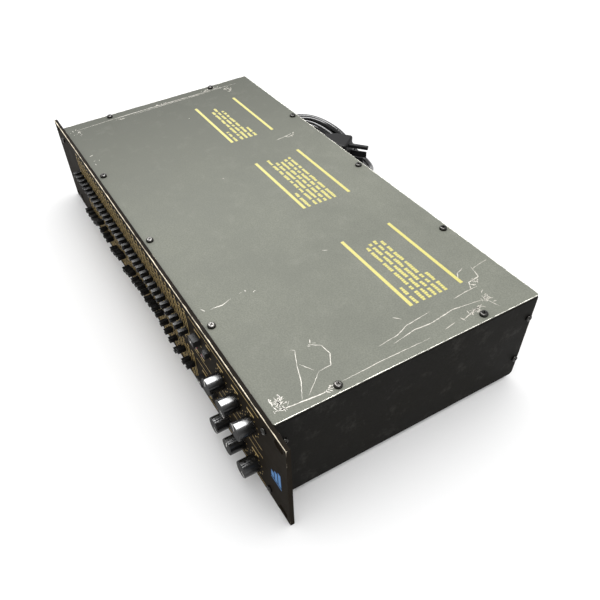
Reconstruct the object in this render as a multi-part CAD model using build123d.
from build123d import *
import os
from math import radians, tan

os.makedirs("parts", exist_ok=True)

# Two-channel rack graphic equaliser, 2U high, with a captive mains lead. Millimetres.
# +X is to the right seen from the front, the front panel faces -Y, +Z is up.
# The origin is under the middle of the object, on the surface that it stands on.

# ---- front panel (19-inch rack standard, 2U)
panel_width = 482.6
panel_height = 88.1
panel_thick = 3.2
panel_edge_break = 0.3
rack_slot_spacing_x = 465.1
rack_slot_spacing_z = 76.2
rack_slot_length = 10.3
rack_slot_height = 6.8

# ---- chassis and cover
chassis_width = 441.2
chassis_depth = 212.6
chassis_lift = 2.0
sheet = 1.5
cover_thick = 1.5
cover_drop = 1.3
cover_corner = 2.0
bend_outer = 2.0
flange = 12.0
flange_gap = 0.4
pan_corner = 0.9
rear_corner = 6.0
rear_bend = 5.0

# ---- screws
screw_shank_r = 1.5
screw_hole_r = 1.65
cover_head_r = 3.0
cover_head_high = 2.2
side_head_r = 2.5
side_head_high = 1.9
recess_long = 3.0
recess_wide = 0.7
recess_deep = 1.1
cover_screw_x = [-105.0, 11.0, 126.0]
cover_screw_edge = 5.2
side_row_inset = 5.2
side_row_y = [52.5, 170.0]
side_screw_z = [23.3, 66.5]
side_screw_front_y = 10.0
side_screw_rear_inset = 3.8
panel_screw_x = 215.0
panel_screw_z = [9.8, 77.3]

# ---- faders
# clear height between each row of faders and the folded edge of the inner front plate beside it
row_gap = {"a": 4.8, "b": 0.2}
fader_count = 31
fader_pitch = 8.8
fader_first_x = -169.0
fader_travel = 24.0
group_size = 4
lever_wide = 1.2
lever_high = 2.4
lever_reach = 9.0
slot_wide = 2.0
slot_end_gap = 0.4
cap_wide = 3.8
cap_high = 4.6
cap_long = 7.0
cap_gap = 0.6
cap_round = 0.5
grip_open = 2.6
grip_deep = 2.3
grip_flat = 0.3
track_wide = 7.4
track_end_wall = 1.2
track_front_y = 5.0
track_groove_wide = 2.4
board_front_y = 12.0
board_thick = 1.6
# height of each fader above the middle of its slot, as the controls were left
rest_a = [-2.2] * fader_count
rest_b = [
    -0.6, -0.2, 0.5, 1.0, 4.5, 9.3, 6.3, 5.3, 5.4, -0.5, 1.5, 4.8, 6.8, -1.4, 2.0, 5.1,
    3.7, 6.0, 8.7, 8.8, 7.9, 9.2, 10.8, 11.1, 7.9, 5.8, 3.6, -0.8, 6.5, 2.2, 5.0,
]

# ---- knobs, on rotary controls with a threaded bush and nut
knob_x = [152.5, 174.3, 196.1]
knob_drop = 2.4
knob_r = 6.6
knob_long = 12.1
knob_gap = 0.5
knob_round = 0.7
knob_cavity_r = 5.8
knob_cavity_deep = 4.6
shaft_r = 3.0
shaft_play = 0.05
shaft_end_y = 9.6
pointer_wide = 1.1
pointer_deep = 0.4
# where each pointer stands, in degrees clockwise from straight up, seen from the front
knob_angle = {"a": [0.0, 120.0, -20.0], "b": [105.0, 10.0, 115.0]}
bush_r = 3.5
bush_reach = 4.2
pot_size = 16.0
pot_wall = 1.0
nut_flats = 9.4
nut_thick = 2.2
thread_gap = 0.05

# ---- push buttons and lamps
button_sizes = {"wide": (8.6, 5.6, 6.0), "small": (4.8, 4.8, 4.2)}
button_places = {"wide": (116.5, 6.6), "small": (134.5, 8.4)}
button_gap = 0.3
button_travel = 2.5
button_back_y = 5.2
stem_size = 3.0
stem_end_y = 9.2
switch_size = 7.6
switch_front_y = 8.0
lamp_x = [109.0, 118.5]
lamp_drop = 9.0
lamp_r = 1.5
lamp_proud = 0.9

# ---- inside
standoff_high = 8.0
standoff_r = 3.0
main_board_x = (-206.0, 206.0)
main_board_y = (34.0, 178.0)
standoff_x = [-196.0, 0.0, 196.0]
standoff_y = [42.0, 170.0]
core_size = (66.0, 28.0, 55.0)
core_place = (-110.0, 140.0)
core_leg = 22.0
core_window = (11.0, 33.0)
winding_gap = 0.5
winding_over = 9.0
capacitor_r = 9.0
capacitor_high = 34.0
capacitor_places = [(20.0, 150.0), (20.0, 125.0), (42.0, 150.0), (42.0, 125.0)]
regulator_x = [-38.0, -20.0]
heat_sink_y = 152.0
heat_sink_wide = 50.0
heat_sink_high = 36.0
fin_count = 6
fin_deep = 14.0

# ---- rear panel
xlr_z = 44.0
xlr_in_x = [-20.0, 88.0]
xlr_out_x = [18.0, 126.0]
xlr_flange = (26.0, 31.0, 1.6)
xlr_body_r = 11.8
xlr_deep = 20.0
xlr_mouth_r = 9.3
xlr_mouth_deep = 15.0
xlr_plug_r = 7.6
xlr_pin_r = 1.2
xlr_pin_circle = 4.1
xlr_screw_x = 9.5
xlr_screw_z = 12.0
jack_x = [52.0, 160.0]
jack_z = [27.0, 60.0]
jack_bore_r = 3.2
jack_bore_deep = 28.0
jack_nose_r = 5.7
jack_nose_proud = 5.5
jack_body = 16.0
jack_nut_flats = 14.0
jack_nut_thick = 2.5
fuse_x = -125.0
fuse_z = 60.0
fuse_cap_r = 7.0
fuse_cap_proud = 9.0
fuse_body_r = 5.9

# ---- mains lead
lead_r = 3.1
gland_x = -68.0
gland_z = 28.0
gland_long = 25.0
gland_flange_r = 8.0
gland_flange_thick = 2.5
gland_hole_r = 6.6
# the places of the coil, the plug and both routes have y counted back from the rear panel's face
coil_place = (-178.0, 58.3)
coil_outer = (140.0, 102.0)
coil_inner = (84.0, 46.0)
coil_high = 18.0
coil_round = 3.0
lead_route = [
    (-68, 25, 28), (-68, 41.3, 28), (-69, 58.3, 21), (-75, 74.3, 11.5),
    (-89, 88, 4.6), (-109, 94, 3.3), (-129, 93.3, 3.3),
]
tail_route = [(-139.3, 29.6, 30.2), (-152.6, 19.3, 27.5), (-168, 11.8, 20.5), (-186, 9.8, 12.5)]
plug_face = (-97.9, 61.9)
plug_turn = 38.0
plug_body = (26.0, 34.0, 24.5)
plug_nose_wide = 22.0
plug_relief_long = 19.5
plug_relief_r = 6.0
blade_size = (6.35, 1.6, 17.5)
blade_spacing = 12.7
blade_drop = 5.2
earth_pin_r = 2.4
earth_pin_long = 20.5

# ---- worked out from the sizes above
panel_back = panel_thick
rear_y = panel_thick + chassis_depth
knob_reach = knob_gap + knob_long
front_y = (knob_reach - rear_y - fuse_cap_proud) / 2
rear_face = front_y + rear_y
chassis_top = panel_height - cover_drop
cover_under = chassis_top - cover_thick
half_width = chassis_width / 2
inner_x = half_width - sheet
floor_top = chassis_lift + sheet
slot_half = fader_travel / 2 + lever_high / 2 + slot_end_gap
track_half = slot_half + track_end_wall
channel_z = {
    "a": cover_under - sheet - row_gap["a"] - track_half,
    "b": floor_top + sheet + row_gap["b"] + track_half,
}
knob_z = {name: z - knob_drop for name, z in channel_z.items()}
fader_x = [fader_first_x + fader_pitch * i for i in range(fader_count)]
rest = {"a": rest_a, "b": rest_b}
board_top = floor_top + standoff_high + board_thick


def block(x, y, z):
    """A block between two values on each axis, with y counted back from the panel's face."""
    centre = Pos((x[0] + x[1]) / 2, front_y + (y[0] + y[1]) / 2, (z[0] + z[1]) / 2)
    return centre * Box(x[1] - x[0], y[1] - y[0], z[1] - z[0])


def around(middle, size):
    """The two ends of a length that is centred on a place."""
    return (middle - size / 2, middle + size / 2)


def rod_y(r, x, z, y):
    """A round rod along Y, with y counted back from the panel's face."""
    return Pos(x, front_y + (y[0] + y[1]) / 2, z) * Rot(90, 0, 0) * Cylinder(r, y[1] - y[0])


def rod_z(r, x, y, z):
    """A round upright rod, with y counted back from the panel's face."""
    return Pos(x, front_y + y, (z[0] + z[1]) / 2) * Cylinder(r, z[1] - z[0])


def rod_x(r, y, z, x):
    """A round rod along X, with y counted back from the panel's face."""
    return Pos((x[0] + x[1]) / 2, front_y + y, z) * Rot(0, 90, 0) * Cylinder(r, x[1] - x[0])


def hex_y(flats, x, z, y):
    """A hexagonal bar along Y."""
    bar = extrude(RegularPolygon(flats / 2, 6, major_radius=False), y[1] - y[0])
    return Pos(x, front_y + y[1], z) * Rot(90, 0, 0) * bar


def both_sides(shape):
    """A shape and its mirror image, left and right."""
    return [shape, mirror(shape, Plane.YZ)]


def group(solids):
    """Separate solids that share one node."""
    return Compound(children=list(solids))


# ---------------------------------------------------------------- fastener places
def cover_screw_places():
    """X and y of the screws that hold the cover down."""
    front = [(x, panel_back + cover_screw_edge) for x in cover_screw_x]
    rear = [(x, rear_y - cover_screw_edge) for x in cover_screw_x]
    side_x = half_width - side_row_inset
    sides = [(side * side_x, y) for side in (-1, 1) for y in side_row_y]
    return front + rear + sides


def side_screw_places():
    """Y and z of the screws in each side of the chassis."""
    rows = (side_screw_front_y, rear_y - side_screw_rear_inset)
    return [(y, z) for y in rows for z in side_screw_z]


def cover_screw_shanks(r, low):
    """The shanks, or at a larger radius the holes, of the cover's screws."""
    return [rod_z(r, x, y, (low, chassis_top)) for x, y in cover_screw_places()]


def side_screw_shanks(r, deep):
    """The shanks, or at a larger radius the holes, of the side screws."""
    shanks = [rod_x(r, y, z, (half_width - deep, half_width)) for y, z in side_screw_places()]
    return [one for shank in shanks for one in both_sides(shank)]


def panel_screw_shanks(r, deep):
    """The shanks, or at a larger radius the holes, of the front panel's screws."""
    shanks = [rod_y(r, panel_screw_x, z, (0, deep)) for z in panel_screw_z]
    return [one for shank in shanks for one in both_sides(shank)]


def pan_head(r, high):
    """A pan head with a cross recess: it stands on the XY plane."""
    head = Pos(0, 0, high / 2) * Cylinder(r, high)
    rim = head.edges().group_by(Axis.Z)[-1]
    head = fillet(rim, high * 0.55)
    for turn in (45, 135):
        slot = Rot(0, 0, turn) * Box(recess_long, recess_wide, 2 * recess_deep)
        head -= Pos(0, 0, high) * slot
    return head


# ---------------------------------------------------------------- casing
def chassis_tray():
    """Bottom and sides in one sheet, with the top edges turned in under the cover."""
    y = (panel_back, rear_y)
    outer = block((-half_width, half_width), y, (chassis_lift, cover_under))
    outer = fillet(outer.edges().filter_by(Axis.Y), bend_outer)
    inner = block((-inner_x, inner_x), y, (floor_top, cover_under - sheet))
    inner = fillet(inner.edges().filter_by(Axis.Y), bend_outer - sheet)
    lip_x = inner_x - flange
    tray = outer - inner - block((-lip_x, lip_x), y, (cover_under - 2 * sheet, cover_under + 1))
    # the lower rear corner of each side is round, and the bottom stops where it starts
    corner_y = rear_y - rear_corner
    corner_z = chassis_lift + rear_corner
    corner = block((-half_width, half_width), (corner_y, rear_y), (chassis_lift, corner_z))
    corner -= rod_x(rear_corner, corner_y, corner_z, (-half_width, half_width))
    tray -= corner
    tray -= block((-inner_x, inner_x), (corner_y, rear_y), (chassis_lift - 1, floor_top))
    cuts = cover_screw_shanks(screw_hole_r, cover_under - 2 * sheet)
    cuts += side_screw_shanks(screw_hole_r, 2 * sheet)
    return tray - cuts


def end_pan(y_plate, y_lip, corner):
    """A plate across the chassis with all four edges turned inwards."""
    low, high = sorted((y_plate, y_lip))
    outer = block((-inner_x, inner_x), (low, high), (floor_top, cover_under))
    outer = fillet(outer.edges().filter_by(Axis.Y).group_by(Axis.Z)[0], pan_corner)
    inside_x = inner_x - sheet
    plate_in = y_plate + (sheet if y_plate < y_lip else -sheet)
    span = sorted((plate_in, y_lip))
    inner = block((-inside_x, inside_x), span, (floor_top + sheet, cover_under - sheet))
    if corner:
        outer_edge = outer.edges().filter_by(Axis.X).sort_by(Axis.Z)[:2].sort_by(Axis.Y)[-1]
        outer = fillet(outer_edge, corner)
        inner_edge = inner.edges().filter_by(Axis.X).sort_by(Axis.Z)[:2].sort_by(Axis.Y)[-1]
        inner = fillet(inner_edge, corner - sheet)
    pan = outer - inner
    # the top edge leaves room for the turned-in edges of the tray
    lip_x = inner_x - flange - flange_gap
    top = (cover_under - sheet - flange_gap, cover_under + 1)
    for x in ((-inner_x - 1, -lip_x), (lip_x, inner_x + 1)):
        pan -= block(x, (low - 1, high + 1), top)
    cuts = cover_screw_shanks(screw_hole_r, cover_under - 2 * sheet)
    cuts += side_screw_shanks(screw_hole_r, 3 * sheet)
    return pan - cuts


def front_subpanel():
    """The chassis front, behind the front panel, with windows for the controls."""
    pan = end_pan(panel_back, panel_back + flange, 0)
    wide = fader_pitch * (fader_count - 1) + track_wide + 1
    middle = (fader_x[0] + fader_x[-1]) / 2
    y = (panel_back - 1, panel_back + sheet + 1)
    cuts = panel_screw_shanks(screw_hole_r, 2 * panel_back + sheet)
    for name, z in channel_z.items():
        cuts.append(block(around(middle, wide), y, around(z, 2 * track_half + 0.6)))
        cuts += [rod_y(bush_r + 0.1, x, knob_z[name], y) for x in knob_x]
        cuts += [rod_y(lamp_r + 0.2, x, z - lamp_drop, y) for x in lamp_x]
        for kind, (x, up) in button_places.items():
            width, height, _ = button_sizes[kind]
            spans = (around(x, width + 1), around(z + up, height + 1))
            cuts.append(block(spans[0], y, spans[1]))
    return pan - cuts


def rear_panel():
    """The chassis rear, with the holes for the sockets, the fuse and the mains lead."""
    pan = end_pan(rear_y, rear_y - flange, rear_bend)
    y = (rear_y - sheet - 1, rear_y + 1)
    cuts = [rod_y(gland_hole_r, gland_x, gland_z, y), rod_y(fuse_body_r + 0.1, fuse_x, fuse_z, y)]
    for x in xlr_in_x + xlr_out_x:
        cuts.append(rod_y(xlr_body_r + 0.2, x, xlr_z, y))
        for side in (-1, 1):
            place = (x + side * xlr_screw_x, xlr_z + side * xlr_screw_z)
            cuts.append(rod_y(screw_hole_r, *place, y))
    for x in jack_x:
        cuts += [rod_y(jack_nose_r + 0.1, x, z, y) for z in jack_z]
    return pan - cuts


def top_cover():
    """The flat lid."""
    y = (panel_back, rear_y)
    lid = block((-half_width, half_width), y, (cover_under, chassis_top))
    lid = fillet(lid.edges().filter_by(Axis.Z), cover_corner)
    return lid - cover_screw_shanks(screw_hole_r, cover_under - 1)


def front_panel():
    """The rack panel, with rack slots, fader slots and the holes of the other controls."""
    half = panel_width / 2
    panel = block((-half, half), (0, panel_thick), (0, panel_height))
    panel = chamfer(panel.faces().sort_by(Axis.Y)[0].edges(), panel_edge_break)
    y = (-1, panel_thick + 1)
    cuts = panel_screw_shanks(screw_hole_r, panel_thick + 1)
    slot_r = rack_slot_height / 2
    for x in (-rack_slot_spacing_x / 2, rack_slot_spacing_x / 2):
        for side in (-1, 1):
            z = panel_height / 2 + side * rack_slot_spacing_z / 2
            straight = rack_slot_length - rack_slot_height
            cuts.append(block(around(x, straight), y, around(z, rack_slot_height)))
            cuts += [rod_y(slot_r, end, z, y) for end in around(x, straight)]
    for name, z in channel_z.items():
        for x in fader_x:
            cuts.append(block(around(x, slot_wide), y, around(z, 2 * slot_half)))
        cuts += [rod_y(bush_r + 0.1, x, knob_z[name], y) for x in knob_x]
        cuts += [rod_y(lamp_r + 0.1, x, z - lamp_drop, y) for x in lamp_x]
        for kind, (x, up) in button_places.items():
            width, height, _ = button_sizes[kind]
            spans = (around(x, width + 2 * button_gap), around(z + up, height + 2 * button_gap))
            cuts.append(block(spans[0], y, spans[1]))
    return panel - cuts


def cover_screws():
    """Pan-head screws that hold the lid to the turned-in edges below it."""
    head = pan_head(cover_head_r, cover_head_high)
    solids = []
    for x, y in cover_screw_places():
        shank = rod_z(screw_shank_r, x, y, (cover_under - 3 * sheet, chassis_top))
        solids.append(Pos(x, front_y + y, chassis_top) * head + shank)
    return group(solids)


def side_screws():
    """Pan-head screws that hold the sides to the edges of the two end pans."""
    head = pan_head(side_head_r, side_head_high)
    solids = []
    for y, z in side_screw_places():
        shank = rod_x(screw_shank_r, y, z, (inner_x - 2 * sheet - 1, half_width))
        screw = Pos(half_width, front_y + y, z) * Rot(0, 90, 0) * head + shank
        solids += both_sides(screw)
    return group(solids)


def panel_screws():
    """Pan-head screws through the front panel into the chassis front."""
    head = pan_head(side_head_r, side_head_high)
    solids = []
    for z in panel_screw_z:
        shank = rod_y(screw_shank_r, panel_screw_x, z, (0, panel_back + 2 * sheet))
        screw = Pos(panel_screw_x, front_y, z) * Rot(90, 0, 0) * head + shank
        solids += both_sides(screw)
    return group(solids)


# ---------------------------------------------------------------- controls
def fader_cap():
    """One cap, seen from its middle: y runs back from the panel's face, with a finger groove."""
    back = -cap_gap
    front = back - cap_long
    half = cap_high / 2
    outline = [
        (back, -half), (back, half), (front, half), (front, grip_open / 2),
        (front + grip_deep, grip_flat / 2), (front + grip_deep, -grip_flat / 2),
        (front, -grip_open / 2), (front, -half),
    ]
    profile = make_face(Plane.YZ * Polyline(*outline, close=True))
    cap = Pos(-cap_wide / 2, 0, 0) * extrude(profile, cap_wide)
    rounded = cap.edges().filter_by(Axis.Y)
    return fillet(rounded, cap_round)


def fader_group(name, first):
    """Neighbouring faders of one channel: caps with the levers that carry them."""
    cap = fader_cap()
    solids = []
    for i in range(first, min(first + group_size, fader_count)):
        z = channel_z[name] + rest[name][i]
        lever_y = (-cap_gap - 1, lever_reach)
        lever = block(around(fader_x[i], lever_wide), lever_y, around(z, lever_high))
        solids.append(Pos(fader_x[i], front_y, z) * cap + lever)
    return group(solids)


def fader_tracks(name):
    """The bodies that the levers run in, one behind each slot."""
    z = channel_z[name]
    tracks = []
    for x in fader_x:
        body = block(around(x, track_wide), (track_front_y, board_front_y), around(z, 2 * track_half))
        groove_y = (track_front_y - 1, lever_reach + 0.6)
        tracks.append(body - block(around(x, track_groove_wide), groove_y, around(z, 2 * slot_half)))
    return group(tracks)


def fader_board(name):
    """The circuit board behind one channel's controls."""
    x = (fader_x[0] - fader_pitch, knob_x[-1] + pot_size / 2 + 1)
    y = (board_front_y, board_front_y + board_thick)
    return block(x, y, around(channel_z[name], 2 * track_half))


def knob(name, i):
    """A round knob and the shaft that it turns, with a pointer groove cut in its face."""
    x, z = knob_x[i], knob_z[name]
    back = -knob_gap
    front = back - knob_long
    body = rod_y(knob_r, x, z, (front, back))
    body = fillet(body.edges().sort_by(Axis.Y)[0], knob_round)
    body -= rod_y(knob_cavity_r, x, z, (back - knob_cavity_deep, back + 1))
    body += rod_y(shaft_r, x, z, (back - knob_cavity_deep - 1, shaft_end_y))
    groove = Pos(0, 0, knob_r / 2 + 1) * Box(pointer_wide, 2 * pointer_deep, knob_r)
    return body - Pos(x, front_y + front, z) * Rot(0, knob_angle[name][i], 0) * groove


def rotary_pots():
    """The rotary controls: a square body behind the chassis front and a bush through it."""
    body_y = (panel_back + sheet, board_front_y)
    solids = []
    for name, z in knob_z.items():
        for x in knob_x:
            body = block(around(x, pot_size), body_y, around(z, pot_size))
            body += rod_y(bush_r, x, z, (-bush_reach, body_y[0] + 1))
            bore_y = (-bush_reach - 1, board_front_y - pot_wall)
            solids.append(body - rod_y(shaft_r + shaft_play, x, z, bore_y))
    return group(solids)


def pot_nuts():
    """The nuts on the bushes, in the hollow of each knob."""
    nuts = []
    for z in knob_z.values():
        for x in knob_x:
            nut = hex_y(nut_flats, x, z, (-nut_thick, 0))
            nuts.append(nut - rod_y(bush_r + thread_gap, x, z, (-nut_thick - 1, 1)))
    return group(nuts)


def button(name, kind):
    """A push button: the cap runs in the panel and its stem in the switch."""
    width, height, proud = button_sizes[kind]
    x, up = button_places[kind]
    z = channel_z[name] + up
    cap = block(around(x, width), (-proud, button_back_y), around(z, height))
    cap = fillet(cap.edges().group_by(Axis.Y)[0], 0.6)
    stem_y = (button_back_y - 1, stem_end_y)
    return cap + block(around(x, stem_size), stem_y, around(z, stem_size))


def switch_bodies():
    """The switches behind the buttons, each with a hollow that the stem runs in."""
    solids = []
    for z_channel in channel_z.values():
        for x, up in button_places.values():
            z = z_channel + up
            y = (switch_front_y, board_front_y)
            body = block(around(x, switch_size), y, around(z, switch_size))
            hole = stem_size + 2 * button_gap
            hollow_y = (switch_front_y - 1, board_front_y + 1)
            solids.append(body - block(around(x, hole), hollow_y, around(z, hole)))
    return group(solids)


def signal_lamps():
    """Small round lamps beside the buttons."""
    lamps = []
    for z in channel_z.values():
        for x in lamp_x:
            lamp = rod_y(lamp_r, x, z - lamp_drop, (-lamp_proud, board_front_y))
            lamps.append(fillet(lamp.edges().sort_by(Axis.Y)[0], lamp_r * 0.55))
    return group(lamps)


# ---------------------------------------------------------------- inside
def main_board():
    """The main circuit board, on standoffs over the bottom of the tray."""
    board = block(main_board_x, main_board_y, (board_top - board_thick, board_top))
    z = (board_top - board_thick - 1, board_top + 1)
    return board - [rod_z(screw_hole_r, x, y, z) for x in standoff_x for y in standoff_y]


def board_standoffs():
    """Round pillars riveted to the tray, tapped for the screws of the main board."""
    z = (floor_top, floor_top + standoff_high)
    pillars = []
    for x in standoff_x:
        for y in standoff_y:
            pillar = rod_z(standoff_r, x, y, z)
            pillars.append(pillar - rod_z(screw_shank_r + thread_gap, x, y, z))
    return group(pillars)


def board_screws():
    """Screws that hold the main board to its standoffs."""
    head = pan_head(side_head_r, side_head_high)
    screws = []
    for x in standoff_x:
        for y in standoff_y:
            shank = rod_z(screw_shank_r, x, y, (board_top - board_thick - 5, board_top))
            screws.append(Pos(x, front_y + y, board_top) * head + shank)
    return group(screws)


def transformer_core():
    """The laminated core, standing on the main board, with two windows."""
    wide, deep, high = core_size
    x, y = core_place
    z = (board_top, board_top + high)
    core = block(around(x, wide), around(y, deep), z)
    for side in (-1, 1):
        window_x = around(x + side * (core_leg + core_window[0]) / 2, core_window[0])
        window_z = around((z[0] + z[1]) / 2, core_window[1])
        core -= block(window_x, (y - deep, y + deep), window_z)
    return core


def transformer_winding():
    """The winding round the middle leg of the core."""
    x, y = core_place
    middle = board_top + core_size[2] / 2
    z = around(middle, core_window[1] - 2 * winding_gap)
    wide = core_leg + 2 * core_window[0] - 2 * winding_gap
    deep = core_size[1] + 2 * winding_over
    coil = block(around(x, wide), around(y, deep), z)
    coil = fillet(coil.edges().filter_by(Axis.Z), 4)
    leg = (core_leg + 2 * winding_gap, core_size[1] + 2 * winding_gap)
    return coil - block(around(x, leg[0]), around(y, leg[1]), (z[0] - 1, z[1] + 1))


def filter_capacitors():
    """Upright can capacitors on the main board."""
    cans = []
    for x, y in capacitor_places:
        can = rod_z(capacitor_r, x, y, (board_top, board_top + capacitor_high))
        cans.append(fillet(can.edges().group_by(Axis.Z)[-1], 1))
    return group(cans)


def heat_sink():
    """A finned heat sink standing on the main board."""
    middle = sum(regulator_x) / len(regulator_x)
    z = (board_top, board_top + heat_sink_high)
    x = around(middle, heat_sink_wide)
    sink = block(x, (heat_sink_y, heat_sink_y + 3), z)
    step = (heat_sink_wide - 2) / (fin_count - 1)
    for i in range(fin_count):
        fin_x = x[0] + 1 + step * i
        sink += block(around(fin_x, 2), (heat_sink_y, heat_sink_y + 3 + fin_deep), z)
    return sink


def regulators():
    """Voltage regulators held flat against the heat sink."""
    bodies = []
    for x in regulator_x:
        body = block(around(x, 10), (heat_sink_y - 4.4, heat_sink_y), (board_top + 4, board_top + 20))
        for offset in (-2.5, 0, 2.5):
            legs_y = around(heat_sink_y - 2, 0.6)
            body += block(around(x + offset, 0.8), legs_y, (board_top, board_top + 5))
        bodies.append(body)
    return group(bodies)


# ---------------------------------------------------------------- rear panel
def xlr_shell(x):
    """The flange and barrel of a round three-pole socket in the rear panel."""
    wide, high, thick = xlr_flange
    plate = block(around(x, wide), (rear_y, rear_y + thick), around(xlr_z, high))
    plate = fillet(plate.edges().filter_by(Axis.Y), 2)
    shell = plate + rod_y(xlr_body_r, x, xlr_z, (rear_y - xlr_deep, rear_y + thick))
    for side in (-1, 1):
        place = (x + side * xlr_screw_x, xlr_z + side * xlr_screw_z)
        shell -= rod_y(screw_hole_r, *place, (rear_y - 1, rear_y + thick + 1))
    mouth_y = (rear_y + thick - xlr_mouth_deep, rear_y + thick + 1)
    return shell - rod_y(xlr_mouth_r, x, xlr_z, mouth_y)


def xlr_poles(x, r, y):
    """Three pins, or at a larger radius three holes, of a round socket."""
    poles = []
    for turn in (90, 210, 330):
        place = Vector(xlr_pin_circle, 0).rotate(Axis.Z, turn)
        poles.append(rod_y(r, x + place.X, xlr_z + place.Y, y))
    return poles


def xlr_outputs():
    """Output sockets with three pins in a round mouth."""
    floor_y = rear_y + xlr_flange[2] - xlr_mouth_deep
    tips_y = (floor_y - 1, rear_y - 1)
    return group([xlr_shell(x) + xlr_poles(x, xlr_pin_r, tips_y) for x in xlr_out_x])


def xlr_inputs():
    """Input sockets with a round plug that has three holes."""
    floor_y = rear_y + xlr_flange[2] - xlr_mouth_deep
    solids = []
    for x in xlr_in_x:
        plug = rod_y(xlr_plug_r, x, xlr_z, (floor_y - 1, rear_y + xlr_flange[2] - 1))
        holes = xlr_poles(x, xlr_pin_r + 0.2, (floor_y + 2, rear_y + xlr_flange[2]))
        solids.append(xlr_shell(x) + (plug - holes))
    return group(solids)


def connector_screws():
    """Screws that hold the round sockets to the rear panel."""
    head = pan_head(side_head_r, side_head_high)
    face = rear_y + xlr_flange[2]
    screws = []
    for x in xlr_in_x + xlr_out_x:
        for side in (-1, 1):
            place = (x + side * xlr_screw_x, xlr_z + side * xlr_screw_z)
            shank = rod_y(screw_shank_r, *place, (rear_y - 5, face))
            screws.append(Pos(place[0], front_y + face, place[1]) * Rot(-90, 0, 0) * head + shank)
    return group(screws)


def jack_sockets():
    """Quarter-inch sockets with a threaded nose through the rear panel."""
    mouth = rear_y + jack_nose_proud
    body_y = (mouth - jack_bore_deep - 2, rear_y - sheet)
    solids = []
    for x in jack_x:
        for z in jack_z:
            body = block(around(x, jack_body), body_y, around(z, jack_body))
            body += rod_y(jack_nose_r, x, z, (body_y[1] - 1, mouth))
            solids.append(body - rod_y(jack_bore_r, x, z, (mouth - jack_bore_deep, mouth + 1)))
    return group(solids)


def jack_nuts():
    """The nuts on the jack sockets."""
    nuts = []
    y = (rear_y, rear_y + jack_nut_thick)
    for x in jack_x:
        for z in jack_z:
            nut = hex_y(jack_nut_flats, x, z, y)
            nuts.append(nut - rod_y(jack_nose_r + thread_gap, x, z, (y[0] - 1, y[1] + 1)))
    return group(nuts)


def fuse_holder():
    """A panel fuse holder with a grooved round cap."""
    cap = rod_y(fuse_cap_r, fuse_x, fuse_z, (rear_y, rear_y + fuse_cap_proud))
    cap = fillet(cap.edges().sort_by(Axis.Y)[-1], 0.8)
    slot = block(around(fuse_x, 8), (rear_y + fuse_cap_proud - 1.5, rear_y + 99), around(fuse_z, 1.4))
    return cap - slot + rod_y(fuse_body_r, fuse_x, fuse_z, (rear_y - 30, rear_y + 1))


# ---------------------------------------------------------------- mains lead
def cord_gland():
    """The strain relief: a flange against the rear panel and a sleeve that narrows."""
    flange_y = (rear_y, rear_y + gland_flange_thick)
    gland = rod_y(gland_flange_r, gland_x, gland_z, flange_y)
    gland += rod_y(gland_hole_r - 0.1, gland_x, gland_z, (rear_y - 8, rear_y + 1))
    sleeve_long = gland_long - gland_flange_thick
    sleeve = Cone(gland_hole_r - 0.6, lead_r + 1.2, sleeve_long)
    middle = rear_face + gland_flange_thick + sleeve_long / 2
    return gland + Pos(gland_x, middle, gland_z) * Rot(-90, 0, 0) * sleeve


def tube(points):
    """A tube along straight runs that are joined by tangent arcs."""
    places = [Vector(*point) for point in points]
    runs = [b - a for a, b in zip(places, places[1:])]
    radii = []
    for a, b in zip(runs, runs[1:]):
        half_turn = radians(a.get_angle(b) / 2)
        radii.append(0.45 * min(a.length, b.length) / tan(half_turn))
    print("cord radii", [round(r, 1) for r in radii])
    path = FilletPolyline(*points, radius=radii)
    section = Plane(origin=places[0], z_dir=runs[0]) * Circle(lead_r)
    solid = sweep(section, path)
    print("cord volume over section times length", solid.volume / (section.area * path.length))
    return solid


def mains_lead():
    """The lead from the strain relief to the coil, and from the coil up to the plug."""
    routes = [[(x, rear_face + y, z) for x, y, z in route] for route in (lead_route, tail_route)]
    return group([tube(route) for route in routes])


def lead_coil():
    """The outer shape of the coil, a long ring with round ends that lies on the floor."""
    ring = extrude(SlotOverall(*coil_outer) - SlotOverall(*coil_inner), coil_high)
    ring = fillet(ring.edges().group_by(Axis.Z)[-1], coil_round)
    return Pos(coil_place[0], rear_face + coil_place[1], 0) * ring


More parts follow.
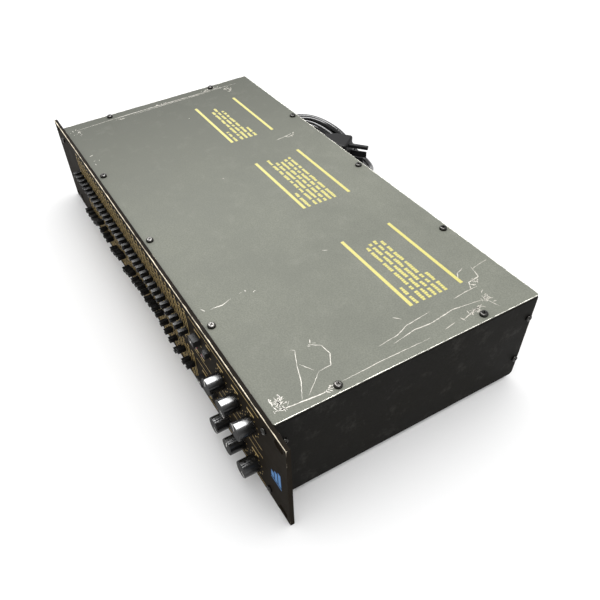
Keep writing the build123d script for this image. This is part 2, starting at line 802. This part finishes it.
def mains_plug():
    """A moulded three-pin plug that lies across the coil, with its pins pointing away."""
    wide, long, high = plug_body
    outline = Polyline(
        (-wide / 2, 0), (wide / 2, 0), (wide / 2, -long * 0.55), (plug_nose_wide / 3, -long),
        (-plug_nose_wide / 3, -long), (-wide / 2, -long * 0.55), close=True,
    )
    body = extrude(make_face(outline), high)
    body = fillet(body.edges().filter_by(Axis.Z), 3)
    body = fillet(body.edges().group_by(Axis.Z)[-1], 2)
    relief = Cone(lead_r + 0.9, plug_relief_r, plug_relief_long)
    body += Pos(0, -long - plug_relief_long / 2 + 1, high / 2) * Rot(-90, 0, 0) * relief
    blade_z = high / 2 - blade_drop
    for side in (-1, 1):
        blade = Box(blade_size[1], blade_size[2] + 1, blade_size[0])
        body += Pos(side * blade_spacing / 2, blade_size[2] / 2, blade_z) * blade
    pin = Rot(90, 0, 0) * Cylinder(earth_pin_r, earth_pin_long + 1)
    body += Pos(0, earth_pin_long / 2, blade_z + 11.9) * pin
    place = Pos(plug_face[0], rear_face + plug_face[1], coil_high)
    return place * Rot(0, 0, plug_turn - 90) * body


def save(name, shape):
    """Write one node."""
    export_step(shape, f"parts/{name}.step")


plain_parts = [
    top_cover, chassis_tray, rear_panel, front_subpanel, front_panel,
    cover_screws, side_screws, panel_screws,
    rotary_pots, pot_nuts, switch_bodies, signal_lamps,
    main_board, board_standoffs, board_screws, transformer_core, transformer_winding,
    filter_capacitors, heat_sink, regulators,
    xlr_inputs, xlr_outputs, connector_screws, jack_sockets, jack_nuts, fuse_holder,
    cord_gland, mains_lead, lead_coil, mains_plug,
]
for make in plain_parts:
    save(make.__name__, make())
for channel in channel_z:
    save(f"fader_tracks_{channel}", fader_tracks(channel))
    save(f"fader_board_{channel}", fader_board(channel))
    for number, first_fader in enumerate(range(0, fader_count, group_size), 1):
        save(f"faders_{channel}{number}", fader_group(channel, first_fader))
        low = -fader_travel / 2 - min(rest[channel][first_fader:first_fader + group_size])
        high = fader_travel / 2 - max(rest[channel][first_fader:first_fader + group_size])
        print(f"faders_{channel}{number} range", round(low, 2), round(high, 2))
    for number in range(len(knob_x)):
        save(f"knob_{channel}{number + 1}", knob(channel, number))
    for kind in button_sizes:
        save(f"button_{kind}_{channel}", button(channel, kind))
print("panel face at y", round(front_y, 3), "rear face at y", round(rear_face, 3))
